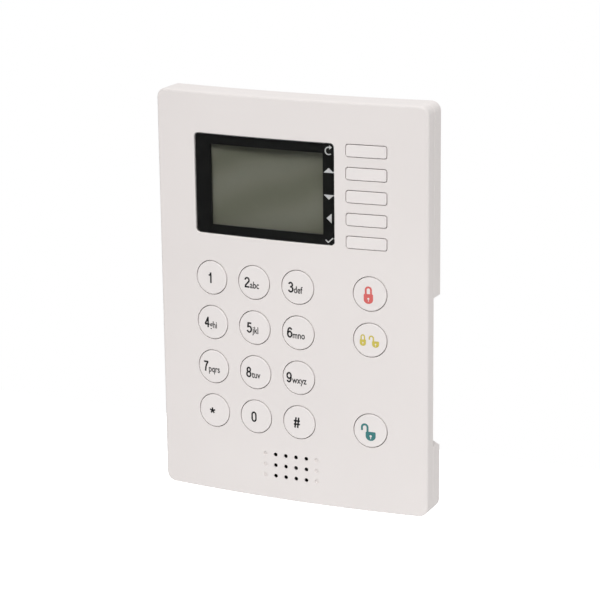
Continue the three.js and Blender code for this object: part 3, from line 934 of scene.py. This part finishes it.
def housing_block():
    """The whole rear housing as one full body: bowed rim and flat-backed box."""
    outer = CASE_OUTLINE
    back = Rectangle(0, 0, *BACK_SIZE, BACK_CORNER)
    front = PARTING_DEPTH + PARTING_SEAM
    seam = [(outer.loop(-PARTING_CHAMFER), front), (outer.loop(0), front + PARTING_CHAMFER)]
    rear_rounding = reversed(rounding(RIM_EDGE, 5))
    rear_edge = [(outer.loop(grow), RIM_DEPTH - depth) for grow, depth in rear_rounding]
    back_edge = [(back.loop(grow), -depth) for grow, depth in reversed(rounding(BACK_EDGE, 4))]
    skin = Skin()
    skin.rings(seam + rear_edge)
    skin.face(seam[0][0], [], front)
    skin.face(rear_edge[-1][0], [back.loop(0)], RIM_DEPTH)
    skin.bridge(back.loop(0), RIM_DEPTH, back_edge[0][1])
    skin.rings(back_edge, bowed=False)
    skin.face(back_edge[-1][0], [], 0, bowed=False)
    return skin.make("rear_housing_shell", None)


def grip_profile(bevel=0.0):
    """Side view (y, z) of a grip. Its edges are eased at the rear, and bevel lowers its foot."""
    front_y = float(bow_y(CASE_WIDTH / 2, PARTING_DEPTH))
    rear_y = float(bow_y(CASE_WIDTH / 2, RIM_DEPTH))
    levels = [front_y - OVERRUN, *np.linspace(rear_y - GRIP_EDGE, rear_y, 6), OVERRUN]
    foot = []
    top = []
    for y in levels:
        past = min(max(0.0, y - (rear_y - GRIP_EDGE)), GRIP_EDGE)
        eased = GRIP_EDGE - math.sqrt(GRIP_EDGE ** 2 - past ** 2)
        share = min(max((y - front_y) / (rear_y - front_y), 0), 1)
        drop = GRIP_FOOT_FLARE * (min(y, rear_y) - front_y) + eased
        drop += bevel * (GRIP_FOOT_BEVEL[0] * (1 - share) + GRIP_FOOT_BEVEL[1] * share)
        foot.append((y, GRIP_BOTTOM_Z - drop))
        top.append((y, GRIP_TOP_Z + eased))
    return foot + top[::-1]


def loft_x(sections):
    """A closed body through side-view profiles of equal length, given as (x, profile)."""
    skin = Skin()
    starts = []
    for x, profile in sections:
        starts.append(len(skin.points))
        skin.points += [(x, y, z) for y, z in profile]
    count = len(sections[0][1])
    skin.join(starts, count)
    skin.faces += [list(range(start, start + count)) for start in (starts[0], starts[-1])]
    return skin.make("tool", None)


def mirrored(item):
    """Adds a copy on the other side of the middle."""
    copy = new_object("tool", item.data.copy(), None)
    copy.data.transform(Matrix.Scale(-1, 4, (1, 0, 0)))
    copy.data.flip_normals()
    return [item, copy]


def grip_notches():
    """Opens the side wall. Its foot's bevel grows from nothing inside to 1 outside, and on beyond."""
    outside = CASE_WIDTH / 2
    inside_wall = outside - WALL
    wall_overlap = 0.3
    sections = [
        (inside_wall - wall_overlap, grip_profile()),
        (inside_wall, grip_profile()),
        (outside + WALL, grip_profile(bevel=2)),
    ]
    return mirrored(loft_x(sections))


def grip_pockets():
    """Finger space between the side wall and the back box, behind a web."""
    ends = (BACK_SIZE[0] / 2, CASE_WIDTH / 2 - WALL + OVERRUN)
    pocket = loft_x([(x, grip_profile()) for x in ends])
    loop = CASE_OUTLINE.loop(WALL)
    web = prism([(loop, GRIP_WEB_DEPTH - FAR), (loop, GRIP_WEB_DEPTH)])
    boolean(pocket, web, "DIFFERENCE")
    discard(web)
    return mirrored(pocket)


def grip_linings():
    """Walls that close the finger space off from the inside."""
    drop = GRIP_FOOT_FLARE * (RIM_DEPTH - PARTING_DEPTH)
    low = GRIP_BOTTOM_Z - drop - GRIP_LINING
    high = GRIP_TOP_Z + GRIP_LINING
    inner_x = BACK_SIZE[0] / 2 - BACK_WALL
    outer_x = CASE_WIDTH / 2 - WALL / 2
    centre = ((inner_x + outer_x) / 2, (low + high) / 2)
    block = Rectangle(*centre, outer_x - inner_x, high - low, MIN_CORNER, 1)
    depths = (PARTING_DEPTH + PARTING_SEAM + LINING_INSET, RIM_DEPTH - LINING_INSET)
    return mirrored(prism([(block.loop(), depth) for depth in depths]))


def floor_tools():
    """Wall-screw slots and the cable opening."""
    x, z = WALL_SLOT_PLACE
    places = [(side * x, end * z) for side in (-1, 1) for end in (-1, 1)]
    outlines = [Rectangle(*place, *WALL_SLOT_SIZE, WALL_SLOT_CORNER) for place in places]
    outlines.append(Rectangle(0, CABLE_ENTRY_Z, *CABLE_ENTRY_SIZE, CABLE_ENTRY_CORNER))
    levels = FLOOR_TOOL_LEVELS
    return [prism([(outline.loop(), y) for y in levels], bowed=False) for outline in outlines]


def boolean(target, tool, operation):
    modifier = target.modifiers.new("cut", "BOOLEAN")
    modifier.operation = operation
    modifier.solver = "EXACT"
    modifier.object = tool
    apply_modifiers(target)


def apply_modifiers(item):
    bpy.context.view_layer.update()
    evaluated = item.evaluated_get(bpy.context.evaluated_depsgraph_get())
    mesh = bpy.data.meshes.new_from_object(evaluated)
    old = item.data
    item.modifiers.clear()
    item.data = mesh
    bpy.data.meshes.remove(old)


def discard(item):
    bpy.data.objects.remove(item)


def screw_hole_tool():
    """Counterbored hole for the case screw in the bottom wall."""
    low, high = node_box("case_screw")
    centre = (low + high) / 2
    head_radius = (high.x - low.x) / 2 + CASE_SCREW_CLEARANCE
    bottom = -CASE_HEIGHT / 2
    ledge = bottom + COUNTERBORE
    profile = [
        (head_radius, bottom - SCREW_TOOL_OVERRUN),
        (head_radius, ledge),
        (CASE_SCREW_HOLE_RADIUS, ledge),
        (CASE_SCREW_HOLE_RADIUS, bottom + CASE_SCREW_HOLE_LENGTH),
    ]
    return turned_z(centre.x, centre.y, profile)


def turned_z(x, y, profile, steps=32):
    """A body turned about an upright axis, from (radius, z) pairs."""
    skin = Skin()
    starts = []
    for radius, z in profile:
        starts.append(len(skin.points))
        turns = np.linspace(0, 2 * math.pi, steps + 1)[:-1]
        skin.points += [(x + radius * math.cos(t), y + radius * math.sin(t), z) for t in turns]
    skin.join(starts, steps)
    skin.faces += [list(range(start, start + steps)) for start in (starts[0], starts[-1])]
    return skin.make("tool", None)


def cavities():
    """The space inside the rim, and the space inside the box against the wall."""
    rim_loop = CASE_OUTLINE.loop(-WALL)
    rim_cavity = prism([(rim_loop, RIM_TOOL_START), (rim_loop, RIM_DEPTH - RIM_FLOOR)])
    width, height = (side - 2 * BACK_WALL for side in BACK_SIZE)
    box_loop = Rectangle(0, 0, width, height, CAVITY_CORNER).loop()
    box_cavity = prism([(box_loop, CAVITY_FRONT_Y), (box_loop, -BACK_FLOOR)], bowed=False)
    return [rim_cavity, box_cavity]


def rear_housing(material):
    housing = housing_block()
    cuts = grip_pockets() + grip_notches() + floor_tools() + [screw_hole_tool()]
    steps = [("DIFFERENCE", cavities()), ("UNION", grip_linings()), ("DIFFERENCE", cuts)]
    for operation, tools in steps:
        for tool in tools:
            boolean(housing, tool, operation)
            discard(tool)
    finish_mesh(housing.data, 20)
    paint(housing, material)
    even_normals(housing)
    return register(housing, "case", "white_abs", "rear_housing")


# ---------------------------------------------------------------- soft parts inside

def node_copy(node, name, material):
    """A CAD node's mesh as a piece of its own."""
    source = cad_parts[node]
    mesh = source.data.copy()
    mesh.transform(source.matrix_world)
    finish_mesh(mesh, 35)
    return new_object(name, mesh, material)


def give_way(item):
    """Gives a springy piece a mesh of its own."""
    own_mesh(item)


def key_post(name, outline, sheet_y, material):
    """The post of the silicone mat behind one key."""
    near = FLANGE_DEPTHS[1] + MAT_GAP
    loop = outline.loop()
    skin = Skin()
    skin.bridge(loop, near, sheet_y)
    skin.face(loop, [], near)
    skin.face(loop, [], sheet_y, bowed=False)
    post = register(skin.make(f"{name}_post", material), "case", "grey_silicone")
    give_way(post)


def keymat(material):
    """The silicone mat: a sheet on the board, and a post behind each key."""
    sheet_y = node_box("keymat")[1].y - MAT_THICKNESS
    sheet = node_copy("keymat", "keymat_sheet", None)
    posts = prism([(CASE_OUTLINE.loop(), y) for y in (-CASE_DEPTH, sheet_y)], bowed=False)
    boolean(sheet, posts, "DIFFERENCE")
    discard(posts)
    finish_mesh(sheet.data, 35)
    paint(sheet, material)
    register(sheet, "case", "grey_silicone", "keymat")
    for name in ROUND_KEYS:
        centre = node_centre(name)
        outline = Circle(centre.x, centre.z, KEY_RADIUS / 2, 32)
        key_post(name, outline, sheet_y, material)
    for name in SOFT_KEYS:
        centre = node_centre(name)
        outline = Rectangle(centre.x, centre.z, *SOFT_POST_SIZE, SOFT_POST_CORNER, 4)
        key_post(name, outline, sheet_y, material)


def tamper_spring(material):
    spring = node_copy("tamper_spring", "tamper_spring_wire", material)
    register(spring, "case", "zinc_steel", "tamper_spring")
    give_way(spring)


# ---------------------------------------------------------------- camera, light and floor

def add_camera():
    """A long lens from the upper right, placed for a picture 600 pixels square, whose size is not set
    here.
    """
    azimuth, elevation, roll = (math.radians(angle) for angle in (24.668, 15.263, -0.676))
    distance = 0.8508
    target = Vector((0.00044, -0.01003, -0.00072))
    back = Vector(
        (
            math.cos(elevation) * math.sin(azimuth),
            -math.cos(elevation) * math.cos(azimuth),
            math.sin(elevation),
        )
    )
    data = bpy.data.cameras.new("camera")
    data.lens = 136.12
    data.sensor_width = 36
    data.clip_start = 0.01
    camera = bpy.data.objects.new("camera", data)
    turn = back.to_track_quat("Z", "Y").to_matrix().to_4x4() @ Matrix.Rotation(roll, 4, "Z")
    camera.matrix_world = Matrix.Translation(target + back * distance) @ turn
    bpy.context.scene.collection.objects.link(camera)
    bpy.context.scene.camera = camera


def add_key_light():
    """A soft round lamp above the panel, a little to its right."""
    place = Vector((0.35, -1.6, 1.6))
    data = bpy.data.lights.new("key_light", "AREA")
    data.shape = "DISK"
    data.size = 0.8
    data.energy = 27
    light = bpy.data.objects.new("key_light", data)
    aim = (-place).to_track_quat("-Z", "Y")
    light.matrix_world = Matrix.Translation(place) @ aim.to_matrix().to_4x4()
    bpy.context.scene.collection.objects.link(light)


def studio_world():
    """White behind the panel for the camera. The room is bright above and behind, and dark in front."""
    world = bpy.data.worlds.new("studio")
    world.use_nodes = True
    tree = world.node_tree
    background = tree.nodes["Background"]
    background.inputs["Color"].default_value = (1, 1, 1, 1)
    place = add_node(tree, "ShaderNodeTexCoord")
    toward = add_node(tree, "ShaderNodeVectorMath", operation="DOT_PRODUCT")
    brightest = Vector((0.04, 0.25, 0.7)).normalized()
    toward.inputs[1].default_value = brightest
    level = add_node(tree, "ShaderNodeMapRange", From_Min=-0.5, From_Max=1.0)
    rays = add_node(tree, "ShaderNodeLightPath")
    choose = add_node(tree, "ShaderNodeMix", data_type="FLOAT")
    choose.inputs["B"].default_value = 1.0
    tree.links.new(place.outputs["Generated"], toward.inputs[0])
    tree.links.new(toward.outputs["Value"], level.inputs["Value"])
    tree.links.new(rays.outputs["Is Camera Ray"], choose.inputs["Factor"])
    tree.links.new(level.outputs["Result"], choose.inputs["A"])
    tree.links.new(choose.outputs["Result"], background.inputs["Strength"])
    bpy.context.scene.world = world


def add_floor():
    """Plain pale floor, well below a panel that hangs on a wall."""
    half = 1.2
    level = -0.5
    mesh = bpy.data.meshes.new("floor")
    corners = [(-half, -half, level), (half, -half, level), (half, half, level), (-half, half, level)]
    mesh.from_pydata(corners, [], [(0, 1, 2, 3)])
    material, _, shader = new_material("floor_paint")
    shader.inputs["Base Color"].default_value = (0.95, 0.95, 0.95, 1)
    shader.inputs["Roughness"].default_value = 0.9
    shader.inputs["Emission Color"].default_value = (1, 1, 1, 1)
    shader.inputs["Emission Strength"].default_value = 0.5
    floor = new_object("floor", mesh, material)
    floor.visible_glossy = False


# ---------------------------------------------------------------- assembly

def dress_cad_nodes(materials):
    """Gives each CAD node that stays its own finish."""
    green = (0.03, 0.15, 0.06)
    silver = (0.70, 0.71, 0.73)
    finishes = {
        "lcd_glass": lcd_surface(),
        "lcd_frame": materials["black"],
        "lcd_backlight": grained("light_guide", (0.72, 0.74, 0.66), 0.4, 0.5, 0.004),
        "lcd_connector_strip": materials["silicone"],
        "main_board": grained("board_laminate", green, 0.35, 0.8, 0.02, tone=0.45, patch=3),
        "microcontroller": materials["black"],
        "buffer_capacitor": grained("capacitor_can", silver, 0.35, 0.3, 0.004, metallic=1.0),
        "sounder": materials["black"],
        "sounder_gasket": grained("foam", (0.02, 0.02, 0.02), 0.95, 0.4, 0.1, tone=0.4, patch=0.8),
        "terminal_block": grained("terminal_plastic", (0.04, 0.22, 0.08), 0.45, 0.3, 0.006),
        "tamper_switch": materials["black"],
        "tamper_plunger": materials["key"],
        "case_screw": materials["zinc"],
    }
    for name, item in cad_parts.items():
        if name.startswith(("board_screw", "terminal_screw")):
            finishes[name] = materials["zinc"]
        if name in finishes:
            paint(item, finishes[name])


def build():
    """Makes every piece, and dresses the CAD nodes that stay."""
    case = case_plastic()
    key = key_plastic()
    materials = {
        "black": grained("black_abs", (0.012, 0.012, 0.013), 0.55, 0.3, 0.006, tone=0.3),
        "key": key,
        "silicone": grained("silicone", (0.50, 0.50, 0.48), 0.75, 0.6, 0.01),
        "zinc": zinc_plate(),
    }
    front_cover(case)
    rear_housing(case)
    for name in ROUND_KEYS:
        key_cap(name, round_key_outline(name), KEY_EDGE, key)
    for name in SOFT_KEYS:
        key_cap(name, soft_key_outline(name), SOFT_KEY_EDGE, key)
    legend = ink("legend_ink", (0.02, 0.02, 0.022))
    for name, (digit, letters) in DIGITS.items():
        key_legend(name, digit, letters, legend)
    padlock_legends(
        ink("red_ink", (0.70, 0.15, 0.14)),
        ink("yellow_ink", (0.62, 0.52, 0.10)),
        ink("teal_ink", (0.06, 0.22, 0.22)),
    )
    display_lens(lens_acrylic())
    display_border(ink("border_ink", (0.006, 0.006, 0.006)))
    display_symbols(ink("symbol_ink", (0.62, 0.62, 0.62)))
    keymat(materials["silicone"])
    tamper_spring(materials["zinc"])
    dress_cad_nodes(materials)


add_camera()
studio_world()
add_key_light()
bpy.context.scene.view_settings.view_transform = "Standard"
add_floor()
build()
